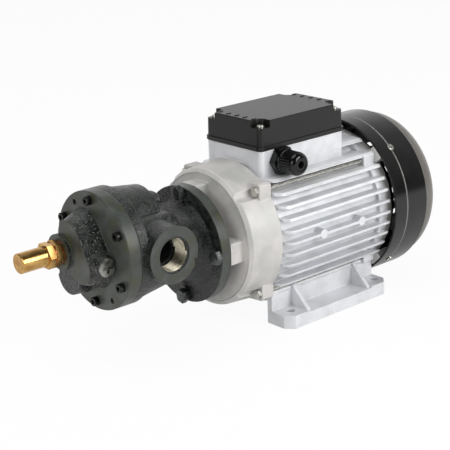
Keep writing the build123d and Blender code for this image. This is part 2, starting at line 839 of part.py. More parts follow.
def make_motor_housing():
    housing = rod(housing_front, housing_rear, tube_radius)
    housing += make_fins()
    housing += rod(housing_rear - collar_long, housing_rear, collar_radius)
    rear_ear = slab(housing_rear - rear_ear_long, housing_rear, -ear_half_y, ear_half_y,
                    -ear_half_z, ear_half_z)
    housing += rear_ear & rod(housing_front, housing_rear, math.hypot(ear_half_y, ear_half_z) - 1.5)
    base, room = make_box_base()
    housing += base
    housing += make_feet()
    housing -= room
    housing += rod(box_front, box_front + box_length, tube_radius + box_floor_skin) & base
    housing -= rod(housing_front, housing_rear, housing_bore / 2)
    for x in (-badge_boss_span / 2, badge_boss_span / 2):
        boss = across(x, -fin_tip_radius, -tube_radius + 2, 0, badge_boss / 2)
        housing += boss - across(x, -fin_tip_radius, -fin_tip_radius + 5, 0, 1.4)
    # Holes for the feet, tie bolts, box screws, gland and leads
    for sx in (-1, 1):
        for sy in (-1, 1):
            place = Pos(sx * foot_holes_long / 2, sy * foot_holes_wide / 2, 0)
            housing -= place * Cylinder(foot_hole / 2, 3 * foot_plate)
    for y, z in tie_bolt_places():
        housing -= rod(housing_front, housing_rear, tie_bolt / 2 + 0.3, y, z)
    for x, y in box_post_places():
        hole = Pos(x, y, shaft_height + z_box_rim) * Cylinder(box_screw / 2 + 0.02, 32)
        housing -= hole
    housing -= across(gland_x, -box_width / 2 - 1, -box_width / 2 + box_wall + 1, z_gland, gland_thread / 2)
    pocket_y = -box_width / 2 + box_wall
    housing -= across(gland_x, pocket_y, pocket_y + gland_inside + 1, z_gland, gland_flats / 2 + 2)
    housing -= Pos(gland_x, 0, shaft_height + tube_radius) * Cylinder(7, 30)
    return housing


def make_stator_core():
    core = tube(core_front, core_front + core_long, housing_bore / 2, stator_bore / 2)
    for i in range(slot_count):
        slot = slab(core_front, core_front + core_long, -2.0, 2.0, stator_bore / 2 + 1.5, stator_bore / 2 + 15)
        core -= around(slot, 360 / slot_count * i)
    return core


def make_stator_windings():
    """Winding heads outside the core, joined by the slot conductors."""
    inner = stator_bore / 2 + 3.0
    outer = stator_bore / 2 + 18.0
    back = core_front + core_long
    heads = [turned([(core_front - winding_head, inner + 2), (core_front - winding_head, outer - 3),
                     (core_front - winding_head + 4, outer), (core_front, outer - 3), (core_front, inner)])]
    heads.append(turned([(back, inner), (back, outer - 3), (back + winding_head - 4, outer),
                         (back + winding_head, outer - 3), (back + winding_head, inner + 2)]))
    return heads


def make_rotor_core():
    outer = stator_bore / 2 - air_gap
    ring_outer = outer - 2.0
    back = core_front + core_long
    rotor = tube(core_front, back, outer, rotor_shaft / 2)
    rotor += tube(core_front - end_ring_long, core_front, ring_outer, ring_outer - 11)
    rotor += tube(back, back + end_ring_long, ring_outer, ring_outer - 11)
    return rotor


def make_motor_shaft():
    start = coupling_middle + coupling_gap / 2
    front_end = front_bearing_x + front_bearing_wide
    rear_end = rear_bearing_x + rear_bearing_wide
    tip = fan_x + fan_blade_wide + 2.0
    profile = [(start, 0), (start, pump_shaft / 2), (front_bearing_x - 2.0, pump_shaft / 2),
               (front_bearing_x - 2.0, front_bearing_bore / 2), (front_end, front_bearing_bore / 2),
               (front_end, rotor_shaft / 2), (rear_bearing_x, rotor_shaft / 2),
               (rear_bearing_x, rear_bearing_bore / 2), (rear_end + 2.0, rear_bearing_bore / 2),
               (rear_end + 2.0, fan_shaft / 2), (tip, fan_shaft / 2), (tip, 0)]
    shaft = turned(profile)
    shaft -= keyway(start, start + key_long, pump_shaft / 2, 0)
    groove = clip_x()
    return shaft - tube(groove, groove + 1.0, fan_shaft / 2, fan_shaft / 2 - 0.7)


def clip_x():
    return fan_x + fan_blade_wide - 3.0


def outer_ring(x, outer, bore, wide):
    """Outer ring of a ball bearing with its shields, which stop just short of the inner ring."""
    middle = (outer + bore) / 4
    ring = tube(x, x + wide, outer / 2, middle + race_gap)
    for x0 in (x + 0.6, x + wide - 1.4):
        ring += tube(x0, x0 + 0.8, middle + race_gap, middle - race_gap + 0.3)
    return ring


def inner_ring(x, outer, bore, wide):
    middle = (outer + bore) / 4
    return tube(x, x + wide, middle - race_gap, bore / 2)


def make_front_bearing_outer():
    return outer_ring(front_bearing_x, front_bearing_outer, front_bearing_bore, front_bearing_wide)


def make_front_bearing_inner():
    return inner_ring(front_bearing_x, front_bearing_outer, front_bearing_bore, front_bearing_wide)


def make_rear_bearing_outer():
    return outer_ring(rear_bearing_x, rear_bearing_outer, rear_bearing_bore, rear_bearing_wide)


def make_rear_bearing_inner():
    return inner_ring(rear_bearing_x, rear_bearing_outer, rear_bearing_bore, rear_bearing_wide)


def make_bearing_spring():
    x = rear_bearing_x + rear_bearing_wide
    return tube(x, x + bearing_spring, rear_bearing_outer / 2 - 0.3, rear_bearing_outer / 2 - 4.5)


def make_rear_shield():
    seat_end = rear_bearing_x + rear_bearing_wide + bearing_spring
    plate_end = housing_rear + rear_shield_plate
    shield = rod(housing_rear, plate_end, rear_shield_radius)
    shield += rod(housing_rear - spigot_long, housing_rear, housing_bore / 2)
    shield += rod(rear_bearing_x - 2.0, seat_end + 3.0, rear_bearing_outer / 2 + 5.0)
    ears = slab(housing_rear, plate_end, -ear_half_y, ear_half_y, -ear_half_z, ear_half_z)
    shield += ears & rod(housing_rear, plate_end, inner_cover - 2.0)
    for angle in (45, 135, 225, 315):
        arm = slab(housing_rear, cover_lug_end, -cover_lug_wide / 2, cover_lug_wide / 2,
                   rear_shield_radius + cover_lug_foot, inner_cover + 2)
        arm = around(arm, angle) & rod(housing_rear, cover_lug_end, inner_cover)
        shield += arm
    room = tube(housing_rear - spigot_long, housing_rear, housing_bore / 2 - 4, rear_bearing_outer / 2 + 5)
    shield -= room
    shield -= rod(rear_bearing_x - 2.0, seat_end, rear_bearing_outer / 2)
    shield -= rod(seat_end, cover_lug_end, fan_shaft / 2 + 3.0)
    for y, z in tie_bolt_places():
        shield -= rod(housing_rear, plate_end, tie_bolt / 2 + 0.02, y, z)
    for angle in (45, 135, 225, 315):
        hole = Pos(cover_fix_x, 0, shaft_height + inner_cover) * Cylinder(cover_fix / 2 + 0.02, 18)
        shield -= around(hole, angle)
    return shield


def make_cooling_fan():
    hub_end = fan_x + fan_blade_wide - 3.0
    fan = rod(fan_x, hub_end, fan_hub_radius)
    fan += rod(fan_x, fan_x + fan_plate, fan_radius - 6)
    for i in range(fan_blades):
        blade = slab(fan_x, fan_x + fan_blade_wide, -fan_blade / 2, fan_blade / 2,
                     fan_hub_radius - 2, fan_radius)
        blade = chamfer(blade.edges().filter_by(Axis.Y).sort_by(Axis.X)[-2:].sort_by(Axis.Z)[0], 8)
        fan += around(blade, 360 / fan_blades * i + 10)
    return fan - rod(fan_x, hub_end, fan_shaft / 2)


def make_fan_clip():
    x = clip_x()
    ring = tube(x, x + 1.0, fan_shaft / 2 + 2.5, fan_shaft / 2 - 0.7)
    return ring - slab(x, x + 1.0, -2.0, 2.0, 0, 20)


def make_fan_cover():
    cover = rod(fan_cover_front, fan_cover_back, fan_cover_radius)
    cover = fillet(cover.edges().group_by(Axis.X)[-1], 1.2)
    cover -= rod(fan_cover_front, fan_cover_back - fan_cover_wall, inner_cover)
    cover -= rod(fan_cover_back - fan_cover_wall, fan_cover_back, cap_shell_radius + 0.1)
    cover -= tube(cover_fix_x - 0.4, cover_fix_x + 0.4, fan_cover_radius, fan_cover_radius - 0.4)
    for angle in (45, 135, 225, 315):
        hole = Pos(cover_fix_x, 0, shaft_height + fan_cover_radius) * Cylinder(cover_fix / 2 + 0.2, 12)
        cover -= around(hole, angle)
        spot = Pos(cover_fix_x, 0, shaft_height + fan_cover_radius - 0.8)
        cover -= around(spot * Cylinder(cover_fix_head / 2 + 0.4, 5, align=low), angle)
    return cover


def make_fan_cover_cap():
    rib_back = fan_cover_back - fan_cover_wall
    outer = rod(rib_back - cap_rib, cap_shell_end, cap_shell_radius)
    outer = fillet(outer.edges().group_by(Axis.X)[-1], cap_shell_round)
    inner = rod(rib_back - cap_rib, cap_shell_end - cap_shell_wall, cap_shell_radius - cap_shell_wall)
    inner = fillet(inner.edges().group_by(Axis.X)[-1], cap_shell_round - cap_shell_wall)
    cap = outer - inner
    cap += tube(rib_back - cap_rib, rib_back, inner_cover - 0.1, cap_shell_radius - 1)
    # Air inlet: rings of slots, left whole along the spokes
    slots = None
    for ring in range(grille_rings):
        radius = 16 + ring * (grille_slot + grille_bar)
        cut = tube(cap_shell_end - cap_shell_wall - 1, cap_shell_end, radius + grille_slot, radius)
        slots = cut if slots is None else slots + cut
    for i in range(grille_spokes):
        spoke = slab(cap_shell_end - 10, cap_shell_end + 1, -2.0, 2.0, 0, cap_shell_radius)
        slots -= around(spoke, 360 / grille_spokes * i)
    return cap - slots


def make_fan_cover_screws():
    seat = fan_cover_radius - 0.8
    screws = []
    for angle in (45, 135, 225, 315):
        place = Pos(cover_fix_x, 0, shaft_height + seat)
        head = place * Cylinder(cover_fix_head / 2, 2.2, align=low)
        head = fillet(head.edges().group_by(Axis.Z)[-1], 0.8)
        head += Pos(cover_fix_x, 0, shaft_height + seat - 9.0) * Cylinder(cover_fix / 2, 9.0, align=low)
        head -= Pos(cover_fix_x, 0, shaft_height + seat + 2.2) * Box(0.9, 4.0, 2.0)
        head -= Pos(cover_fix_x, 0, shaft_height + seat + 2.2) * Box(4.0, 0.9, 2.0)
        screws.append(around(head, angle))
    return screws


def make_tie_bolts():
    seat = housing_front - ear_long
    bolts = []
    for y, z in tie_bolt_places():
        bolt = hexagon(seat - tie_head_high, seat, tie_head_flats, y, z)
        bolt += rod(seat, housing_rear + rear_shield_plate - 1.0, tie_bolt / 2, y, z)
        bolts.append(bolt)
    return bolts


# ---------------------------------------------------------------- terminal box

def box_outline(inset=0.0):
    corner = max(box_corner - inset, 1.0)
    return RectangleRounded(box_length - 2 * inset, box_width - 2 * inset, corner)


def at_box(z):
    return Pos(box_middle_x, 0, shaft_height + z)


def make_box_gasket():
    gasket = extrude(at_box(z_box_rim) * (box_outline(0.3) - box_outline(box_wall)), box_gasket_thick)
    for x, y in box_post_places():
        post = Pos(x, y, shaft_height + z_box_rim)
        gasket += post * Cylinder(box_post / 2 - 1, box_gasket_thick, align=low)
    for x, y in box_post_places():
        gasket -= Pos(x, y, shaft_height + z_box_rim) * Cylinder(box_screw / 2 + 0.3, 9)
    return gasket


def corner_notch(x, y, radius, depth):
    """Open corner step round a cover screw, cut down from the top of the cover."""
    sx = 1 if x > box_middle_x else -1
    sy = 1 if y > 0 else -1
    z1 = z_cover_top + 1
    z0 = z_cover_top - depth
    reach = 2 * box_post_inset
    notch = Pos(x, y, shaft_height + z0) * Cylinder(radius, z1 - z0, align=low)
    x0, x1 = sorted((x, x + sx * reach))
    y0, y1 = sorted((y - sy * radius, y + sy * reach))
    notch += slab(x0, x1, y0, y1, z0, z1)
    x0, x1 = sorted((x - sx * radius, x + sx * reach))
    y0, y1 = sorted((y, y + sy * reach))
    return notch + slab(x0, x1, y0, y1, z0, z1)


def make_box_cover():
    height = cover_height
    shell = extrude(at_box(z_cover_base) * box_outline(0), height, taper=cover_draft)
    # Corners cut back to a lower step where the screws sit
    for x, y in box_post_places():
        shell -= corner_notch(x, y, cover_notch_radius, cover_notch_deep)
    top_edges = shell.faces().sort_by(Axis.Z)[-1].edges()
    shell = fillet(top_edges, 0.8)
    shell += extrude(at_box(z_cover_base) * RectangleRounded(
        box_length + 2 * cover_rim_proud, box_width + 2 * cover_rim_proud, box_corner + 1), cover_rim_high)
    room = extrude(at_box(z_cover_base) * box_outline(cover_wall), height - cover_wall, taper=cover_draft)
    for x, y in box_post_places():
        room -= Pos(x, y, shaft_height + z_cover_base) * Cylinder(box_post / 2 + 1, 100, align=low)
        room -= corner_notch(x, y, cover_notch_radius + cover_wall, cover_notch_deep + cover_wall)
    shell -= room
    for x, y in box_post_places():
        shell -= Pos(x, y, shaft_height) * Cylinder(box_screw / 2 + 0.3, 400)
    # Short moulded ridges along both ends of the top
    for i in range(cover_ridge_count):
        y = (i - (cover_ridge_count - 1) / 2) * cover_ridge_pitch
        for x in (box_front + cover_ridge_inset, box_front + box_length - cover_ridge_inset):
            shell += Pos(x, y, shaft_height + z_cover_top) * Box(5.0, 1.6, 1.2)
    return shell


def make_box_cover_screws():
    seat = z_cover_top - cover_notch_deep
    screws = []
    for x, y in box_post_places():
        head = Pos(x, y, shaft_height + seat) * Cylinder(3.6, 2.4, align=low)
        head = fillet(head.edges().group_by(Axis.Z)[-1], 0.9)
        foot = z_box_rim - box_screw_bite
        shank = Pos(x, y, shaft_height + foot) * Cylinder(box_screw / 2, seat - foot, align=low)
        slot = Pos(x, y, shaft_height + seat + 2.4)
        screws.append(head + shank - slot * Box(4.4, 0.9, 2.0) - slot * Box(0.9, 4.4, 2.0))
    return screws


def floor_z():
    return tube_radius + box_floor_skin


def make_terminal_block():
    back = terminal_front + terminal_long
    block = slab(terminal_front, back, -terminal_wide / 2, terminal_wide / 2, floor_z() - 2.6,
                 floor_z() + terminal_high)
    block -= rod(terminal_front, back, floor_z())
    for y in terminal_rows:
        for column in terminal_columns:
            place = Pos(terminal_front + column, y, shaft_height + floor_z() + 4)
            block -= place * Cylinder(terminal_stud / 2 + 0.05, 20, align=low)
    return block


def make_terminal_studs():
    studs = []
    for y in terminal_rows:
        for column in terminal_columns:
            x = terminal_front + column
            stud = Pos(x, y, shaft_height + floor_z() + 4) * Cylinder(terminal_stud / 2, 15, align=low)
            nut = RegularPolygon(terminal_nut / 2, 6, major_radius=False)
            place = Plane(origin=(x, y, shaft_height + floor_z() + terminal_high), z_dir=(0, 0, 1))
            studs.append(stud + extrude(place * nut, 3.2))
    return studs


def make_run_capacitor():
    return rod(capacitor_front, capacitor_back, capacitor_radius, 0, floor_z() + capacitor_radius)


def make_gland_body():
    wall = -box_width / 2
    hexa = RegularPolygon(gland_flats / 2, 6, major_radius=False, rotation=30)
    place = Plane(origin=(gland_x, wall, shaft_height + z_gland), z_dir=(0, -1, 0))
    body = extrude(place * hexa, 7.0)
    body += extrude(place * Circle(gland_thread / 2 - 0.5), 15.0)
    body += extrude(place * Circle(gland_thread / 2 - 0.05), -(box_wall + gland_inside))
    return body - extrude(place * Circle(gland_hole / 2 + 1.5), 50, both=True)


def make_gland_nut():
    wall = -box_width / 2 - 7.6
    profile = [(0, gland_thread / 2 - 0.4), (0, 11.6), (11.0, 11.6), (15.5, 11.0), (19.0, 9.4),
               (21.0, 7.6), (21.0, gland_hole / 2 + 0.5), (8.6, gland_hole / 2 + 0.5),
               (8.6, gland_thread / 2 - 0.4)]
    face = make_face(Polyline(*profile, close=True))
    nut = revolve(face, axis=Axis.X)
    place = Plane(origin=(gland_x, wall, shaft_height + z_gland), x_dir=(0, 0, 1), z_dir=(1, 0, 0))
    return Pos(gland_x, wall, shaft_height + z_gland) * Rot(0, 0, -90) * nut


def make_gland_seal():
    start = -box_width / 2 - 15.0
    end = -box_width / 2 - 7.6 - 20.4
    seal = across(gland_x, start, end, z_gland, gland_hole / 2 + 0.4)
    seal += across(gland_x, start, start - 1.2, z_gland, gland_thread / 2 - 0.7)
    return seal - across(gland_x, start, end, z_gland, cable_hole / 2)


def make_gland_locknut():
    wall = -box_width / 2 + box_wall
    place = Plane(origin=(gland_x, wall, shaft_height + z_gland), z_dir=(0, 1, 0))
    nut = extrude(place * RegularPolygon(gland_flats / 2 - 0.5, 6, major_radius=False, rotation=30), 3.5)
    return nut - extrude(place * Circle(gland_thread / 2), 4)


pieces = {
    "front_cover": make_front_cover,
    "cover_gasket": make_cover_gasket,
    "pump_body": make_pump_body,
    "front_bearing_block": make_bearing_block,
    "front_bushes": make_front_bushes,
    "rear_bushes": make_rear_bushes,
    "drive_gear": make_drive_gear,
    "drive_gear_key": make_drive_gear_key,
    "drive_shaft": make_drive_shaft,
    "driven_gear": make_driven_gear,
    "driven_shaft": make_driven_shaft,
    "shaft_seal": make_shaft_seal,
    "cover_screws": make_cover_screws,
    "dowel_pins": make_dowel_pins,
    "gallery_plug": make_gallery_plug,
    "valve_poppet": make_valve_poppet,
    "valve_spring": make_valve_spring,
    "valve_spring_seat": make_valve_spring_seat,
    "valve_body": make_valve_body,
    "adjusting_screw": make_adjusting_screw,
    "valve_washers": make_valve_washers,
    "valve_cap": make_valve_cap,
    "flange_bolts": make_flange_bolts,
    "flange_washers": make_flange_washers,
    "coupling_sleeve": make_coupling_sleeve,
    "coupling_keys": make_coupling_keys,
    "front_shield": make_front_shield,
    "motor_housing": make_motor_housing,
    "stator_core": make_stator_core,
    "stator_windings": make_stator_windings,
    "rotor_core": make_rotor_core,
    "motor_shaft": make_motor_shaft,
    "front_bearing_outer": make_front_bearing_outer,
    "front_bearing_inner": make_front_bearing_inner,
    "rear_bearing_outer": make_rear_bearing_outer,
    "rear_bearing_inner": make_rear_bearing_inner,
    "bearing_spring": make_bearing_spring,
    "rear_shield": make_rear_shield,
    "cooling_fan": make_cooling_fan,
    "fan_clip": make_fan_clip,
    "fan_cover": make_fan_cover,
    "fan_cover_cap": make_fan_cover_cap,
    "fan_cover_screws": make_fan_cover_screws,
    "tie_bolts": make_tie_bolts,
    "box_gasket": make_box_gasket,
    "box_cover": make_box_cover,
    "box_cover_screws": make_box_cover_screws,
    "terminal_block": make_terminal_block,
    "terminal_studs": make_terminal_studs,
    "run_capacitor": make_run_capacitor,
    "gland_body": make_gland_body,
    "gland_nut": make_gland_nut,
    "gland_seal": make_gland_seal,
    "gland_locknut": make_gland_locknut,
}

os.makedirs("parts", exist_ok=True)
for name, make in pieces.items():
    made = make()
    solids = made if isinstance(made, list) else [made]
    shape = Compound(children=[s for part in solids for s in part.solids()])
    export_step(shape, "parts/" + name + ".step")
    print(name, len(shape.solids()))
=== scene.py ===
import json
import math

import bmesh
import bpy
from mathutils import Matrix, Vector


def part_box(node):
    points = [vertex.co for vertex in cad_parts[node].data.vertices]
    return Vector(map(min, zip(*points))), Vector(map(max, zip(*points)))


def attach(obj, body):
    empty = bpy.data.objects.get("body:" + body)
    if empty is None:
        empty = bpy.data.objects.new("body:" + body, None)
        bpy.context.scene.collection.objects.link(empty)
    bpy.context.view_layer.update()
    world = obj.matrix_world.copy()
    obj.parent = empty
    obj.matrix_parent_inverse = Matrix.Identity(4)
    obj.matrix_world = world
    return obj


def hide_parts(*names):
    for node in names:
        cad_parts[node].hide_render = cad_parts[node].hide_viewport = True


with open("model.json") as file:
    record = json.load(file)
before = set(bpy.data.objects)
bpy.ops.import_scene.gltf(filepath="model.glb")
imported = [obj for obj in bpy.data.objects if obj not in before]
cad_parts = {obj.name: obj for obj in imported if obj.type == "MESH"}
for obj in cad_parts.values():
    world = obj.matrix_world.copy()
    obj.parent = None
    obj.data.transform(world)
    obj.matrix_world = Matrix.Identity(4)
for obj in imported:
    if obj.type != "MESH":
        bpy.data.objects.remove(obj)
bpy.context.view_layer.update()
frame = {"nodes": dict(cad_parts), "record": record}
nodes = frame["nodes"]
mm = 0.001
bevelSamples = 4
handledEdgeMm = 0.4
noiseSpan = (0.35, 0.65)
print("stage: frame loaded with", len(nodes), "nodes")


def middle(node):
    low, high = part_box(node)
    return (low + high) / 2


headMiddle = middle("cover_gasket")
shaftMiddle = middle("coupling_sleeve")
mounts = {mount["name"]: mount for mount in frame["record"]["mounts"]}


# Colours, shader nodes and meshes
def linearColour(hexValue):
    channels = [int(hexValue[i:i + 2], 16) / 255 for i in (1, 3, 5)]
    return [c / 12.92 if c <= 0.04045 else ((c + 0.055) / 1.055) ** 2.4 for c in channels] + [1.0]


def addNode(tree, kind, values=None, links=None, stops=(), **settings):
    node = tree.nodes.new(kind)
    for name, value in settings.items():
        setattr(node, name, value)
    for socket, value in (values or {}).items():
        node.inputs[socket].default_value = value
    for socket, source in (links or {}).items():
        tree.links.new(source, node.inputs[socket])
    for index, (position, colour) in enumerate(stops):
        ramp = node.color_ramp.elements
        element = ramp[index] if index < len(ramp) else ramp.new(position)
        element.position = position
        element.color = linearColour(colour)
    return node


def newMaterial(name, **values):
    material = bpy.data.materials.new(name)
    material.use_nodes = True
    tree = material.node_tree
    tree.nodes.clear()
    shader = addNode(tree, "ShaderNodeBsdfPrincipled", {k.replace("_", " "): v for k, v in values.items()})
    addNode(tree, "ShaderNodeOutputMaterial", links={"Surface": shader.outputs["BSDF"]})
    place = addNode(tree, "ShaderNodeTexCoord").outputs["Object"]
    return material, tree, shader, place


def noiseScale(sizeMm):
    return 1 / (sizeMm * mm)


waveRadians = 20  # how far a wave texture turns in one unit at scale 1


def waveScale(radianMm):  # a whole wave is 2 pi times as long as radianMm
    return 1 / (radianMm * mm) / waveRadians


# Gives the normal rounded over an edge, and how near that edge is from 0 to 1
edgeFacing = {"flat": 0.995, "edge": 0.9}


def roundedEdges(tree, radiusMm):
    rounded = addNode(tree, "ShaderNodeBevel", {"Radius": radiusMm * mm}, samples=bevelSamples).outputs[0]
    flat = addNode(tree, "ShaderNodeNewGeometry").outputs["Normal"]
    along = addNode(tree, "ShaderNodeVectorMath", links={0: rounded, 1: flat}, operation="DOT_PRODUCT")
    nearEdge = addNode(tree, "ShaderNodeMapRange", {1: edgeFacing["flat"], 2: edgeFacing["edge"]},
                       {0: along.outputs["Value"]})
    return rounded, nearEdge.outputs[0]


# Sand-cast iron, sprayed with thin black paint as cast: a grainy skin with glossy bumps, and pale painted
# glints (a painted highlight) on the tops of the grain, paler on the cover than on the body. The sand's
# grain is drawn as coarse as it needs to show, several times too big. Faces that were turned or milled
# after casting are flat dark grey, with faint rings and oily patches.
castIron = {"paint": "#121513", "thinPaint": "#262a27", "grainMm": 1.25, "lumpMm": 7.0, "depthMm": 0.6,
            "paintedGlintColours": {"castIronCover": "#8f938c", "castIronBody": "#565a55"},
            "paintedGlintFrom": 0.6, "paintedGlintTo": 0.74, "gloss": 0.16, "dull": 0.4,
            "edgeMm": 1.6, "wearAndEdgeHighlight": 0.35, "faceMm": 0.25,
            "turned": "#343733", "turnedPale": "#424641", "oil": "#383a28", "patchMm": 13.0,
            "turnedRoughness": 0.36, "ringRadianMm": 1.2, "toolMarkStrength": 0.2, "toolMarkMm": 0.03,
            "paintSpan": (0.36, 0.66), "oilSpan": (0.36, 0.46, 0.66)}


def makeCastIron(name, cutFaces, centre, rimRadius, rimFrom):
    material, tree, shader, place = newMaterial(name, IOR=1.5)
    spot = addNode(tree, "ShaderNodeSeparateXYZ", links={0: place}).outputs
    centred = addNode(tree, "ShaderNodeMapping",
                      {"Location": (0, -centre.y, -centre.z), "Scale": (0, 1, 1)},
                      {"Vector": place}).outputs[0]
    away = addNode(tree, "ShaderNodeVectorMath", links={0: centred}, operation="LENGTH").outputs["Value"]
    outside = addNode(tree, "ShaderNodeMath", {1: rimRadius}, {0: away}, operation="GREATER_THAN")
    beyond = addNode(tree, "ShaderNodeMath", {1: rimFrom}, {0: spot[0]}, operation="GREATER_THAN")
    cut = addNode(tree, "ShaderNodeMath", links={0: outside.outputs[0], 1: beyond.outputs[0]},
                  operation="MULTIPLY").outputs[0]
    for axis, where in cutFaces:
        onFace = addNode(tree, "ShaderNodeMath", {1: where, 2: castIron["faceMm"] * mm}, {0: spot[axis]},
                         operation="COMPARE").outputs[0]
        cut = addNode(tree, "ShaderNodeMath", links={0: cut, 1: onFace}, operation="MAXIMUM").outputs[0]
    grain = addNode(tree, "ShaderNodeTexNoise", {"Scale": noiseScale(castIron["grainMm"]), "Detail": 2.0},
                    {"Vector": place}).outputs["Fac"]
    lumps = addNode(tree, "ShaderNodeTexNoise", {"Scale": noiseScale(castIron["lumpMm"]), "Detail": 2.0},
                    {"Vector": place}).outputs["Fac"]
    patches = addNode(tree, "ShaderNodeTexNoise", {"Scale": noiseScale(castIron["patchMm"]), "Detail": 3.0},
                      {"Vector": place}).outputs["Fac"]
    paint = addNode(tree, "ShaderNodeValToRGB", links={"Fac": lumps},
                    stops=zip(castIron["paintSpan"], (castIron["paint"], castIron["thinPaint"]))).outputs[0]
    # painted highlight: a pale glint colour laid on the grain's tops, paler on the cover than on the body
    paintedGlintSpots = addNode(tree, "ShaderNodeMapRange", {1: castIron["paintedGlintFrom"], 2: castIron["paintedGlintTo"]},
                     {0: grain})
    cast = addNode(tree, "ShaderNodeMix", {7: linearColour(castIron["paintedGlintColours"][name])},
                   {0: paintedGlintSpots.outputs[0], 6: paint}, data_type="RGBA").outputs[2]
    greys = (castIron["oil"], castIron["turned"], castIron["turnedPale"])
    turned = addNode(tree, "ShaderNodeValToRGB", links={"Fac": patches},
                     stops=zip(castIron["oilSpan"], greys)).outputs[0]
    rounded, nearEdge = roundedEdges(tree, castIron["edgeMm"])
    colour = addNode(tree, "ShaderNodeMix", links={0: cut, 6: cast, 7: turned}, data_type="RGBA").outputs[2]
    # edges painted paler: partly wear, partly a painted highlight along them
    edge = addNode(tree, "ShaderNodeMath", {1: castIron["wearAndEdgeHighlight"]}, {0: nearEdge}, operation="MULTIPLY")
    wornAndLitEdge = addNode(tree, "ShaderNodeMix", {7: linearColour(castIron["turnedPale"])},
                   {0: edge.outputs[0], 6: colour}, data_type="RGBA").outputs[2]
    skin = addNode(tree, "ShaderNodeMapRange",
                   {1: noiseSpan[0], 2: noiseSpan[1], 3: castIron["gloss"], 4: castIron["dull"]},
                   {0: lumps}).outputs[0]
    sheen = addNode(tree, "ShaderNodeMix", {3: castIron["turnedRoughness"]}, {0: cut, 2: skin}).outputs[0]
    relief = addNode(tree, "ShaderNodeMath", links={0: grain, 1: lumps}, operation="ADD").outputs[0]
    rough = addNode(tree, "ShaderNodeMath", {0: 1.0}, {1: cut}, operation="SUBTRACT").outputs[0]
    bump = addNode(tree, "ShaderNodeBump", {"Distance": castIron["depthMm"] * mm},
                   {"Strength": rough, "Height": relief, "Normal": rounded}).outputs[0]
    rings = addNode(tree, "ShaderNodeTexWave", {"Scale": waveScale(castIron["ringRadianMm"])},
                    {"Vector": centred}, wave_type="RINGS", rings_direction="X").outputs["Fac"]
    toolMarks = addNode(tree, "ShaderNodeBump", {"Strength": castIron["toolMarkStrength"],
                                                 "Distance": castIron["toolMarkMm"] * mm},
                        {"Height": rings, "Normal": bump}).outputs[0]
    tree.links.new(wornAndLitEdge, shader.inputs["Base Color"])
    tree.links.new(sheen, shader.inputs["Roughness"])
    tree.links.new(toolMarks, shader.inputs["Normal"])
    return material


# Die-cast aluminium: the housing was tumbled and the shields were blasted with shot, so both are pale and
# matt, with soft blotches. Their edges are painted brighter, partly for wear and partly as a painted
# highlight.
# The fine grain is drawn as coarse as it needs to show.
aluminiumGrain = {"strength": 0.3, "depthMm": 0.1, "stainSpan": (0.36, 0.58), "sheenSpan": (0.3, 0.7)}
aluminium = {
    "tumbledDieCastAluminium": {"pale": "#dcdde0", "stain": "#cecfd1", "edge": "#f2f2f4", "blotchMm": 18.0,
                                "grainMm": 1.1, "smooth": 0.42, "matt": 0.5, "metallic": 0.35,
                                "edgeMm": 1.0},
    "shotBlastedAluminium": {"pale": "#c6c3c0", "stain": "#b3b3b0", "edge": "#dcdad8", "blotchMm": 26.0,
                             "grainMm": 0.9, "smooth": 0.48, "matt": 0.56, "metallic": 0.3,
                             "edgeMm": 1.8},
}


def makeAluminium(name):
    look = aluminium[name]
    material, tree, shader, place = newMaterial(name, Metallic=look["metallic"])
    blotch = addNode(tree, "ShaderNodeTexNoise", {"Scale": noiseScale(look["blotchMm"]), "Detail": 5.0},
                     {"Vector": place}).outputs["Fac"]
    grain = addNode(tree, "ShaderNodeTexNoise", {"Scale": noiseScale(look["grainMm"]), "Detail": 2.0},
                    {"Vector": place}).outputs["Fac"]
    skin = addNode(tree, "ShaderNodeValToRGB", links={"Fac": blotch},
                   stops=zip(aluminiumGrain["stainSpan"], (look["stain"], look["pale"]))).outputs[0]
    rounded, nearEdge = roundedEdges(tree, look["edgeMm"])
    # edges painted brighter: partly wear, partly a painted highlight along them
    colour = addNode(tree, "ShaderNodeMix", {7: linearColour(look["edge"])}, {0: nearEdge, 6: skin},
                     data_type="RGBA").outputs[2]
    low, high = aluminiumGrain["sheenSpan"]
    sheen = addNode(tree, "ShaderNodeMapRange", {1: low, 2: high, 3: look["smooth"], 4: look["matt"]},
                    {0: blotch}).outputs[0]
    bump = addNode(tree, "ShaderNodeBump", {"Strength": aluminiumGrain["strength"],
                                            "Distance": aluminiumGrain["depthMm"] * mm},
                   {"Height": grain, "Normal": rounded}).outputs[0]
    tree.links.new(colour, shader.inputs["Base Color"])
    tree.links.new(sheen, shader.inputs["Roughness"])
    tree.links.new(bump, shader.inputs["Normal"])
    return material


# Brass, turned and then handled: warm and bright, with a little tarnish. The marks of the tool's feed are
# drawn as coarse as they need to show.
brass = {"bright": "#d2a968", "deep": "#ac8048", "feedRadianMm": 0.9, "tarnishMm": 8.0, "roughness": 0.24,
         "markStrength": 0.12, "markMm": 0.03, "wobble": 0.6, "tarnishSpan": (0.3, 0.62)}


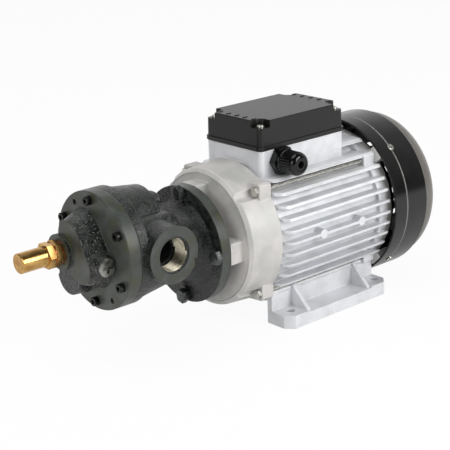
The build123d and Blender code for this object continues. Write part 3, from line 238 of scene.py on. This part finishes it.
def makeBrass():
    material, tree, shader, place = newMaterial("turnedBrass", Metallic=1.0, Roughness=brass["roughness"])
    marks = addNode(tree, "ShaderNodeTexWave", {"Scale": waveScale(brass["feedRadianMm"]),
                                                "Distortion": brass["wobble"], "Detail": 2.0},
                    {"Vector": place}, bands_direction="X").outputs["Fac"]
    tarnish = addNode(tree, "ShaderNodeTexNoise", {"Scale": noiseScale(brass["tarnishMm"]), "Detail": 3.0},
                      {"Vector": place}).outputs["Fac"]
    colour = addNode(tree, "ShaderNodeValToRGB", links={"Fac": tarnish},
                     stops=zip(brass["tarnishSpan"], (brass["deep"], brass["bright"]))).outputs[0]
    rounded = addNode(tree, "ShaderNodeBevel", {"Radius": handledEdgeMm * mm},
                      samples=bevelSamples).outputs[0]
    bump = addNode(tree, "ShaderNodeBump", {"Strength": brass["markStrength"],
                                            "Distance": brass["markMm"] * mm},
                   {"Height": marks, "Normal": rounded}).outputs[0]
    tree.links.new(colour, shader.inputs["Base Color"])
    tree.links.new(bump, shader.inputs["Normal"])
    return material


# Plain metals, one mottled colour each
metalReliefMm = 0.03
metalRelief = 0.3
plainMetals = {
    # copper rings, punched and annealed: warm and satin, a little uneven
    "annealedCopper": {"low": "#b5602f", "high": "#dd8a52", "patchMm": 3.0,
                       "roughness": 0.32, "metallic": 1.0},
    # steel screws, plated with zinc in a barrel: bright and silvery
    "zincPlatedSteel": {"low": "#b4b3ab", "high": "#e0dfd8", "patchMm": 2.5,
                        "roughness": 0.24, "metallic": 1.0},
    # alloy steel screws, blackened and oiled: dark with a sharp shine
    "blackOxideSteel": {"low": "#151716", "high": "#2b2d2c", "patchMm": 2.0,
                        "roughness": 0.26, "metallic": 0.7},
    # forged steel bolts whose thin zinc went dull: dark grey
    "dullZincSteel": {"low": "#454746", "high": "#666867", "patchMm": 2.5,
                      "roughness": 0.34, "metallic": 0.8},
    # steel plug, plated and then worn by the screwdriver: patches of two greys
    "wornPlugSteel": {"low": "#5d5e5a", "high": "#a3a39d", "patchMm": 7.0,
                      "roughness": 0.3, "metallic": 0.9},
    # hardened steel, ground: clean pale grey with a sharp shine
    "groundSteel": {"low": "#8f9294", "high": "#b7babb", "patchMm": 5.0,
                    "roughness": 0.25, "metallic": 1.0},
    # iron freshly cut by the tap: pale, warm and bright
    "cutPortIron": {"low": "#a09984", "high": "#cdc7b2", "patchMm": 6.0,
                    "roughness": 0.28, "metallic": 0.9},
    # bronze powder, pressed and sintered: brown and dull, with pores
    "sinteredBronze": {"low": "#7d5730", "high": "#a3794a", "patchMm": 1.5,
                       "roughness": 0.45, "metallic": 0.9},
    # electrical sheet, punched and stacked: blue-grey and dull
    "siliconSteelSheet": {"low": "#4b4d52", "high": "#63656a", "patchMm": 3.0,
                          "roughness": 0.45, "metallic": 0.8},
    # enamelled wire, dipped in varnish: red-brown with a soft shine
    "varnishedCopperWire": {"low": "#7c3314", "high": "#b35a2a", "patchMm": 1.6,
                            "roughness": 0.3, "metallic": 0.8},
}

# Plastics and rubbers as moulded, their grains drawn as coarse as they need to show
mouldingReliefMm = 0.1
plasticReflection = 0.4
mouldings = {
    # ABS lid out of a spark-eroded mould: black with a fine grain
    "blackAbsLid": {"low": "#0c0d0b", "high": "#121311", "grainMm": 0.9,
                    "roughness": 0.34, "relief": 0.3},
    # nylon gland out of a polished mould: black and glossy
    "glossBlackNylon": {"low": "#050606", "high": "#0a0b0b", "grainMm": 6.0,
                        "roughness": 0.13, "relief": 0.05},
    # ABS cap out of a polished mould: grey and smooth
    "paleGreyAbs": {"low": "#615e5a", "high": "#6b6864", "grainMm": 1.2,
                    "roughness": 0.22, "relief": 0.05},
    # nylon fan, filled with glass: black and a little dull
    "blackFanNylon": {"low": "#141514", "high": "#1c1d1c", "grainMm": 1.4,
                      "roughness": 0.45, "relief": 0.2},
    # rubber lip seals, pressed hot: black and matt
    "nitrileRubber": {"low": "#0a0a0a", "high": "#141413", "grainMm": 1.6,
                      "roughness": 0.6, "relief": 0.3},
    # fibre gaskets, rolled and stamped: black, dry and uneven
    "gasketSheet": {"low": "#0c0d0c", "high": "#191a17", "grainMm": 1.2,
                    "roughness": 0.8, "relief": 0.5},
    # phenolic terminal block, pressed: dark brown with a soft shine
    "darkPhenolic": {"low": "#1e1a17", "high": "#2a2521", "grainMm": 2.0,
                     "roughness": 0.4, "relief": 0.1},
}


def makeMottled(name, look, scaleMm, depthMm, **values):
    material, tree, shader, place = newMaterial(name, Roughness=look["roughness"], **values)
    patches = addNode(tree, "ShaderNodeTexNoise", {"Scale": noiseScale(scaleMm), "Detail": 3.0},
                      {"Vector": place}).outputs["Fac"]
    colour = addNode(tree, "ShaderNodeValToRGB", links={"Fac": patches},
                     stops=zip(noiseSpan, (look["low"], look["high"]))).outputs[0]
    rounded = addNode(tree, "ShaderNodeBevel", {"Radius": handledEdgeMm * mm},
                      samples=bevelSamples).outputs[0]
    bump = addNode(tree, "ShaderNodeBump", {"Strength": look.get("relief", metalRelief),
                                            "Distance": depthMm * mm},
                   {"Height": patches, "Normal": rounded}).outputs[0]
    tree.links.new(colour, shader.inputs["Base Color"])
    tree.links.new(bump, shader.inputs["Normal"])
    return material


# Fan cover of drawn sheet steel, in black stove enamel that flowed out smooth: glossy, with a pale line
# painted along its pressed bead as a painted highlight
enamel = {"black": "#0e0f0e", "blackPale": "#151615", "paintedBeadHighlight": "#8a8b87", "beadMm": 0.75, "patchMm": 14.0,
          "roughness": 0.17, "edgeMm": 0.6, "strength": 0.06, "depthMm": 0.1}


def makeEnamel():
    material, tree, shader, place = newMaterial("blackStoveEnamel", Roughness=enamel["roughness"],
                                                Specular_IOR_Level=plasticReflection)
    across = addNode(tree, "ShaderNodeSeparateXYZ", links={0: place}).outputs[0]
    beadPlace = middle("fan_cover_screws").x
    # painted highlight: a pale band along the bead's place
    paintedBeadHighlight = addNode(tree, "ShaderNodeMath", {1: beadPlace, 2: enamel["beadMm"] * mm}, {0: across},
                   operation="COMPARE").outputs[0]
    patches = addNode(tree, "ShaderNodeTexNoise", {"Scale": noiseScale(enamel["patchMm"]), "Detail": 3.0},
                      {"Vector": place}).outputs["Fac"]
    coat = addNode(tree, "ShaderNodeValToRGB", links={"Fac": patches},
                   stops=zip(noiseSpan, (enamel["black"], enamel["blackPale"]))).outputs[0]
    colour = addNode(tree, "ShaderNodeMix", {7: linearColour(enamel["paintedBeadHighlight"])}, {0: paintedBeadHighlight, 6: coat},
                     data_type="RGBA").outputs[2]
    rounded = addNode(tree, "ShaderNodeBevel", {"Radius": enamel["edgeMm"] * mm},
                      samples=bevelSamples).outputs[0]
    bump = addNode(tree, "ShaderNodeBump", {"Strength": enamel["strength"],
                                            "Distance": enamel["depthMm"] * mm},
                   {"Height": patches, "Normal": rounded}).outputs[0]
    tree.links.new(colour, shader.inputs["Base Color"])
    tree.links.new(bump, shader.inputs["Normal"])
    return material


# Where tools cut the castings: the disc, lobe and valve faces and the rim of the cover, the port faces and
# the rim of the flange
coverCuts = {"discMm": 12.9, "lobesMm": 19.2, "rimMm": 53.4}
flangeCut = {"rimMm": 55.2, "thickMm": 11.0}
portCut = {"pastMountMm": 10.0}
nearPortFace = mounts["near_port"]["pos_m"][1] - portCut["pastMountMm"] * mm
farPortFace = mounts["far_port"]["pos_m"][1] + portCut["pastMountMm"] * mm
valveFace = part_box("front_cover")[0].x
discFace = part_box("cover_gasket")[0].x - coverCuts["discMm"] * mm
lobeFace = discFace - coverCuts["lobesMm"] * mm
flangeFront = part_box("pump_body")[1].x - flangeCut["thickMm"] * mm

finishes = {
    "castIronCover": makeCastIron("castIronCover", [(0, discFace), (0, lobeFace), (0, valveFace)],
                                  headMiddle, coverCuts["rimMm"] * mm, -1),
    "castIronBody": makeCastIron("castIronBody", [(1, nearPortFace), (1, farPortFace)], shaftMiddle,
                                 flangeCut["rimMm"] * mm, flangeFront),
    "turnedBrass": makeBrass(),
    "blackStoveEnamel": makeEnamel(),
}
finishes.update({name: makeAluminium(name) for name in aluminium})
for name, look in plainMetals.items():
    finishes[name] = makeMottled(name, look, look["patchMm"], metalReliefMm, Metallic=look["metallic"])
for name, look in mouldings.items():
    finishes[name] = makeMottled(name, look, look["grainMm"], mouldingReliefMm,
                                 Specular_IOR_Level=plasticReflection)

nodeFinish = {
    "castIronCover": ("front_cover",),
    "castIronBody": ("pump_body",),
    "gasketSheet": ("cover_gasket", "box_gasket"),
    "tumbledDieCastAluminium": ("motor_housing",),
    "shotBlastedAluminium": ("front_bearing_block", "front_shield", "rear_shield"),
    "sinteredBronze": ("front_bushes", "rear_bushes"),
    "groundSteel": ("drive_gear", "drive_gear_key", "drive_shaft", "driven_gear", "driven_shaft",
                    "dowel_pins", "valve_poppet", "valve_spring", "coupling_sleeve", "coupling_keys",
                    "motor_shaft", "fan_clip",
                    "front_bearing_outer", "front_bearing_inner", "rear_bearing_outer",
                    "rear_bearing_inner",
                    "bearing_spring"),
    "nitrileRubber": ("shaft_seal", "gland_seal"),
    "blackOxideSteel": ("cover_screws",),
    "dullZincSteel": ("flange_bolts", "flange_washers"),
    "zincPlatedSteel": ("gallery_plug", "fan_cover_screws", "tie_bolts", "box_cover_screws"),
    "turnedBrass": ("valve_spring_seat", "valve_body", "adjusting_screw", "valve_cap", "terminal_studs"),
    "annealedCopper": ("valve_washers",),
    "siliconSteelSheet": ("stator_core", "rotor_core"),
    "varnishedCopperWire": ("stator_windings",),
    "blackFanNylon": ("cooling_fan",),
    "blackStoveEnamel": ("fan_cover",),
    "paleGreyAbs": ("fan_cover_cap", "run_capacitor"),
    "blackAbsLid": ("box_cover",),
    "darkPhenolic": ("terminal_block",),
    "glossBlackNylon": ("gland_body", "gland_nut", "gland_locknut"),
}


def setFinish(piece, name):
    piece.data.materials.clear()
    piece.data.materials.append(finishes[name])


for finish, members in nodeFinish.items():
    for node in members:
        setFinish(nodes[node], finish)
print("stage: finishes on every node")


mergeMm = 0.001


def newPiece(name, shape, finish, body="frame", sharpDegrees=35):
    bmesh.ops.remove_doubles(shape, verts=shape.verts, dist=mergeMm * mm)
    bmesh.ops.recalc_face_normals(shape, faces=shape.faces)
    for face in shape.faces:
        face.smooth = True
    mesh = bpy.data.meshes.new(name)
    shape.to_mesh(mesh)
    shape.free()
    mesh.set_sharp_from_angle(angle=math.radians(sharpDegrees))
    piece = bpy.data.objects.new(name, mesh)
    bpy.context.scene.collection.objects.link(piece)
    setFinish(piece, finish)
    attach(piece, body)
    return piece


# Pipe thread inside each port: one V-shaped ridge wound along the bore
portThread = {"pitchMm": 2.309, "crestMm": 1.2, "startMm": 1.6, "turns": 7, "stepsPerTurn": 48,
              "rootMm": 0.1, "flanks": (0.08, 0.5, 0.92), "sharpDegrees": 25}


def makePortThread(name, mount, face, outward):
    place = mounts[mount]["pos_m"]
    radius = mounts[mount]["dims"]["r_mm"] * mm
    inward = -outward
    pitch = portThread["pitchMm"] * mm
    start = face + inward * portThread["startMm"] * mm
    shape = bmesh.new()
    root = radius + portThread["rootMm"] * mm
    profile = zip((root, radius - portThread["crestMm"] * mm, root), portThread["flanks"])
    corners = [shape.verts.new((place[0] + out, start + inward * pitch * along, place[2]))
               for out, along in profile]
    for index in range(3):
        shape.edges.new((corners[index], corners[(index + 1) % 3]))
    steps = portThread["turns"] * portThread["stepsPerTurn"]
    bmesh.ops.spin(shape, geom=shape.verts[:] + shape.edges[:], cent=(place[0], start, place[2]),
                   axis=(0, 1, 0), dvec=(0, inward * pitch / portThread["stepsPerTurn"], 0),
                   angle=inward * 2 * math.pi * portThread["turns"], steps=steps, use_merge=False,
                   use_duplicate=False)
    openEdges = [edge for edge in shape.edges if edge.is_boundary]
    bmesh.ops.holes_fill(shape, edges=openEdges, sides=3)
    newPiece(name, shape, "cutPortIron", sharpDegrees=portThread["sharpDegrees"])


makePortThread("near_port_thread", "near_port", nearPortFace, -1)
makePortThread("far_port_thread", "far_port", farPortFace, 1)


# Gland nut: fluted barrel with a domed nose round the cable hole
glandNut = {"flutes": 30, "fluteMm": 0.45, "domeMm": 6.0, "mouthMm": 5.75, "collarMm": 2.4, "boreMm": 9.6,
            "threadMm": 8.6, "domeSteps": 8,
            "stepMm": 0.3, "lipMm": 0.8, "stepsPerFlute": 4, "sharpDegrees": 30, "nearMm": 0.1}


def makeGlandNut():
    low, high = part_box("gland_nut")
    centre = middle("gland_nut")
    radius = (high.x - low.x) / 2
    dome = glandNut["domeMm"] * mm
    mouth = glandNut["mouthMm"] * mm
    bore = glandNut["boreMm"] * mm
    seat = high.y - glandNut["threadMm"] * mm
    collar = glandNut["collarMm"] * mm
    step = glandNut["stepMm"] * mm
    lip = glandNut["lipMm"] * mm
    barrel = high.y - collar
    waist = radius - step
    near = glandNut["nearMm"] * mm
    nose = waist - mouth - lip
    profile = [(bore, high.y), (radius, high.y), (radius, barrel), (waist, barrel - step)]
    for index in range(glandNut["domeSteps"] + 1):
        angle = math.pi / 2 * index / glandNut["domeSteps"]
        profile.append((waist - nose * (1 - math.cos(angle)), low.y + dome * (1 - math.sin(angle))))
    profile += [(mouth, low.y + lip), (mouth, seat), (bore, seat)]
    shape = bmesh.new()
    ring = [shape.verts.new((centre.x + out, along, centre.z)) for out, along in profile]
    for index, corner in enumerate(ring):
        shape.edges.new((corner, ring[(index + 1) % len(ring)]))
    steps = glandNut["flutes"] * glandNut["stepsPerFlute"]
    bmesh.ops.spin(shape, geom=shape.verts[:] + shape.edges[:], cent=(centre.x, 0, centre.z),
                   axis=(0, 1, 0), angle=2 * math.pi, steps=steps, use_merge=True, use_duplicate=False)
    for corner in shape.verts:
        out = Vector((corner.co.x - centre.x, 0, corner.co.z - centre.z))
        turn = round(math.atan2(out.z, out.x) / (2 * math.pi) * steps) % glandNut["stepsPerFlute"]
        onBarrel = out.length > waist - near / 2 and low.y + dome - near < corner.co.y < barrel
        if onBarrel and turn in (0, 1):
            corner.co -= out.normalized() * glandNut["fluteMm"] * mm
    piece = newPiece("gland_nut_fluted", shape, "glossBlackNylon",
                     sharpDegrees=glandNut["sharpDegrees"])
    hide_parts("gland_nut")


makeGlandNut()


def addPrism(shape, corners, depth):  # a prism from a ring of corners, pushed along by depth
    ring = [shape.verts.new(corner) for corner in corners]
    face = shape.faces.new(ring)
    pushed = bmesh.ops.extrude_face_region(shape, geom=[face])["geom"]
    top = [item for item in pushed if isinstance(item, bmesh.types.BMVert)]
    bmesh.ops.translate(shape, verts=top, vec=depth)


def ringPoints(count, radius, turn=0.0):
    angles = [2 * math.pi * index / count + turn for index in range(count)]
    return [(radius * math.cos(angle), radius * math.sin(angle)) for angle in angles]


# Plug of the relief gallery: a low round head with a cross recess, and the start of its thread
galleryPlug = {"headMm": 17.2, "chamferMm": 0.7, "highMm": 3.0, "crossMm": 5.2, "armMm": 1.5, "deepMm": 2.4,
               "shankMm": 4.7, "corners": 48, "shankCorners": 24}


def makeGalleryPlug():
    low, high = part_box("gallery_plug")
    centre = middle("gallery_plug")
    radius = galleryPlug["headMm"] / 2 * mm
    chamfer = galleryPlug["chamferMm"] * mm
    head = galleryPlug["highMm"] * mm
    count = galleryPlug["corners"]
    shape = bmesh.new()
    rings = []
    for out, along in ((radius - chamfer, 0), (radius, chamfer), (radius, head)):
        rings.append([shape.verts.new((centre.x + across, low.y + along, centre.z + up))
                      for across, up in ringPoints(count, out)])
    for outer, inner in zip(rings, rings[1:]):
        for index in range(len(outer)):
            after = (index + 1) % len(outer)
            shape.faces.new((outer[index], outer[after], inner[after], inner[index]))
    shape.faces.new(rings[-1])
    reach, arm = galleryPlug["crossMm"] * mm, galleryPlug["armMm"] * mm
    quarter = [(reach, -arm), (reach, arm), (arm, arm)]
    cross = []
    for turn in range(4):
        for across, up in quarter:
            for _ in range(turn):
                across, up = -up, across
            cross.append((across, up))
    rims = []
    for depth in (0, galleryPlug["deepMm"] * mm):
        rims.append([shape.verts.new((centre.x + across, low.y + depth, centre.z + up))
                     for across, up in cross])
    shape.faces.new(rims[1])
    # the corner of the first ring that each side of the cross looks at; the faces run between the two
    middles = [(a[0] + b[0], a[1] + b[1]) for a, b in zip(cross, cross[1:] + cross[:1])]
    marks = [round(math.atan2(up, across) / (2 * math.pi) * count) % count for across, up in middles]
    for index, mark in enumerate(marks):
        after = (index + 1) % len(cross)
        shape.faces.new((rims[0][index], rims[0][after], rims[1][after], rims[1][index]))
        shape.faces.new((rims[0][index], rims[0][after], rings[0][mark]))
        at = marks[index - 1]
        while at != mark:
            shape.faces.new((rims[0][index], rings[0][at], rings[0][(at + 1) % count]))
            at = (at + 1) % count
    start = low.y + head
    shank = ringPoints(galleryPlug["shankCorners"], galleryPlug["shankMm"] * mm)
    addPrism(shape, [(centre.x + across, start, centre.z + up) for across, up in shank],
             (0, high.y - start, 0))
    piece = newPiece("gallery_plug_cross", shape, "wornPlugSteel")
    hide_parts("gallery_plug")


makeGalleryPlug()

# Bolts of the pump flange: hexagon heads with rounded corners, standing on their washers
flangeBolts = {"count": 4, "circleMm": 101.0, "flatsMm": 12.4, "highMm": 5.4, "chamferMm": 0.7,
               "shankMm": 3.0, "shankCorners": 20, "turn": 15, "turnStep": 20, "nearMm": 0.01}


def makeFlangeBolts():
    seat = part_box("flange_washers")[0].x
    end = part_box("flange_bolts")[1].x
    corner = flangeBolts["flatsMm"] / 2 / math.cos(math.pi / 6) * mm
    front = seat - flangeBolts["highMm"] * mm
    places = ringPoints(flangeBolts["count"], flangeBolts["circleMm"] / 2 * mm)
    shape = bmesh.new()
    for index, (across, up) in enumerate(places):
        turn = math.radians(flangeBolts["turn"] + flangeBolts["turnStep"] * index)
        where = Vector((seat, shaftMiddle.y + across, shaftMiddle.z + up))
        hexagon = [where + Vector((0, y, z)) for y, z in ringPoints(6, corner, turn)]
        before = set(shape.edges)
        addPrism(shape, hexagon, (-flangeBolts["highMm"] * mm, 0, 0))
        rim = [edge for edge in shape.edges if edge not in before
               and all(abs(tip.co.x - front) < flangeBolts["nearMm"] * mm for tip in edge.verts)]
        bmesh.ops.bevel(shape, geom=rim, offset=flangeBolts["chamferMm"] * mm, offset_type="OFFSET",
                        segments=2, profile=0.5, affect="EDGES", material=-1)
        shank = ringPoints(flangeBolts["shankCorners"], flangeBolts["shankMm"] * mm)
        addPrism(shape, [where + Vector((0, y, z)) for y, z in shank], (end - seat, 0, 0))
    piece = newPiece("flange_bolts_hexagon", shape, "dullZincSteel")
    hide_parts("flange_bolts")


makeFlangeBolts()
print("stage: threads, gland nut, plug and bolts")


# Floor, light and camera
studio = {"floorSize": 8.0, "floorPale": "#e8e8e8", "floorRoughness": 0.9, "whiteness": 0.94,
          "mirrored": 0.25, "skyLight": 0.55, "roomDark": "#303231", "backWhite": "#ffffff",
          "backWay": (0.73, 0.68, 0.0), "backFrom": 0.05, "backTo": 0.6,
          "fade": ((0.5, "#ffffff"), (0.8, "#9c9c9c"), (1.0, "#b8b8b8"))}
white = (1, 1, 1, 1)


def makeFloor():
    shape = bmesh.new()
    bmesh.ops.create_grid(shape, x_segments=1, y_segments=1, size=studio["floorSize"] / 2)
    mesh = bpy.data.meshes.new("floor")
    shape.to_mesh(mesh)
    shape.free()
    floor = bpy.data.objects.new("floor", mesh)
    bpy.context.scene.collection.objects.link(floor)
    material, tree, shader, place = newMaterial("paleFloor", Roughness=studio["floorRoughness"])
    shader.inputs["Base Color"].default_value = linearColour(studio["floorPale"])
    ray = addNode(tree, "ShaderNodeLightPath").outputs
    seen = addNode(tree, "ShaderNodeMath", links={0: ray["Is Camera Ray"], 1: ray["Is Transmission Ray"]},
                   operation="MAXIMUM")
    bright = addNode(tree, "ShaderNodeMath", {1: studio["whiteness"]}, {0: seen.outputs[0]},
                     operation="MULTIPLY")
    mirrored = addNode(tree, "ShaderNodeMath", {1: studio["mirrored"]}, {0: ray["Is Glossy Ray"]},
                       operation="MULTIPLY")
    share = addNode(tree, "ShaderNodeMath", links={0: bright.outputs[0], 1: mirrored.outputs[0]},
                    operation="MAXIMUM")
    glow = addNode(tree, "ShaderNodeEmission", {"Color": white, "Strength": 1.0})
    both = addNode(tree, "ShaderNodeMixShader",
                   links={0: share.outputs[0], 1: shader.outputs[0], 2: glow.outputs[0]})
    output = next(node for node in tree.nodes if node.type == "OUTPUT_MATERIAL")
    tree.links.new(both.outputs[0], output.inputs["Surface"])
    floor.data.materials.append(material)


def makeWorld():  # shiny surfaces see a white backdrop behind the part and a darker room on the near side
    world = bpy.data.worlds.new("studio")
    bpy.context.scene.world = world
    world.use_nodes = True
    tree = world.node_tree
    tree.nodes.clear()
    ray = addNode(tree, "ShaderNodeLightPath").outputs
    seen = addNode(tree, "ShaderNodeMath", links={0: ray["Is Camera Ray"], 1: ray["Is Transmission Ray"]},
                   operation="MAXIMUM").outputs[0]
    direction = addNode(tree, "ShaderNodeTexCoord").outputs["Generated"]
    height = addNode(tree, "ShaderNodeSeparateXYZ", links={0: direction}).outputs["Z"]
    ahead = addNode(tree, "ShaderNodeVectorMath", {1: studio["backWay"]}, {0: direction},
                    operation="DOT_PRODUCT").outputs["Value"]
    behind = addNode(tree, "ShaderNodeMapRange", {1: studio["backFrom"], 2: studio["backTo"]}, {0: ahead})
    roomColours = {6: linearColour(studio["roomDark"]), 7: linearColour(studio["backWhite"])}
    room = addNode(tree, "ShaderNodeMix", roomColours, {0: behind.outputs[0]}, data_type="RGBA").outputs[2]
    fade = addNode(tree, "ShaderNodeValToRGB", links={"Fac": height},
                   stops=studio["fade"]).outputs[0]
    mirror = addNode(tree, "ShaderNodeMix", {0: 1.0}, {6: room, 7: fade}, data_type="RGBA",
                     blend_type="MULTIPLY").outputs[2]
    soft = addNode(tree, "ShaderNodeBackground", {"Color": white, "Strength": studio["skyLight"]})
    shiny = addNode(tree, "ShaderNodeBackground", {"Strength": 1.0}, {"Color": mirror})
    backdrop = addNode(tree, "ShaderNodeBackground", {"Color": white, "Strength": 1.0})
    lit = addNode(tree, "ShaderNodeMixShader",
                  links={0: ray["Is Glossy Ray"], 1: soft.outputs[0], 2: shiny.outputs[0]})
    both = addNode(tree, "ShaderNodeMixShader",
                   links={0: seen, 1: lit.outputs[0], 2: backdrop.outputs[0]})
    addNode(tree, "ShaderNodeOutputWorld", links={"Surface": both.outputs[0]})


lamps = {
    "key": {"place": (0.45, -1.55, 0.8), "aim": (-0.03, 0, 0.08), "size": 1.0, "watts": 21},
    "overhead": {"place": (-0.4, 0.3, 1.7), "aim": (-0.05, 0, 0.08), "size": 1.1, "watts": 9},
    "side": {"place": (-1.6, -0.4, 0.7), "aim": (-0.1, 0, 0.08), "size": 0.8, "watts": 6},
}


def makeLamps():
    for name, lamp in lamps.items():
        light = bpy.data.lights.new(name, "AREA")
        light.energy = lamp["watts"]
        light.size = lamp["size"]
        holder = bpy.data.objects.new(name, light)
        bpy.context.scene.collection.objects.link(holder)
        holder.location = lamp["place"]
        way = Vector(lamp["aim"]) - holder.location
        holder.rotation_euler = way.to_track_quat("-Z", "Y").to_euler()


view = {"place": (-0.79695, -0.8355, 0.4546), "aim": (-0.08645, 0, 0.0539), "rollDegrees": -2.28,
        "lensMm": 97.1, "sensorMm": 36, "shiftX": 0.0018, "shiftY": 0.0827, "reach": 20}


def makeCamera():
    data = bpy.data.cameras.new("camera")
    data.lens = view["lensMm"]
    data.sensor_width = view["sensorMm"]
    data.shift_x = view["shiftX"]
    data.shift_y = view["shiftY"]
    data.clip_end = view["reach"]
    camera = bpy.data.objects.new("camera", data)
    bpy.context.scene.collection.objects.link(camera)
    way = Vector(view["aim"]) - Vector(view["place"])
    aimed = way.to_track_quat("-Z", "Y").to_matrix().to_4x4()
    roll = Matrix.Rotation(math.radians(view["rollDegrees"]), 4, "Z")
    camera.matrix_world = Matrix.Translation(view["place"]) @ aimed @ roll
    bpy.context.scene.camera = camera


makeFloor()
makeWorld()
makeLamps()
makeCamera()
bpy.context.scene.view_settings.view_transform = "Standard"
print("stage: floor, light and camera")
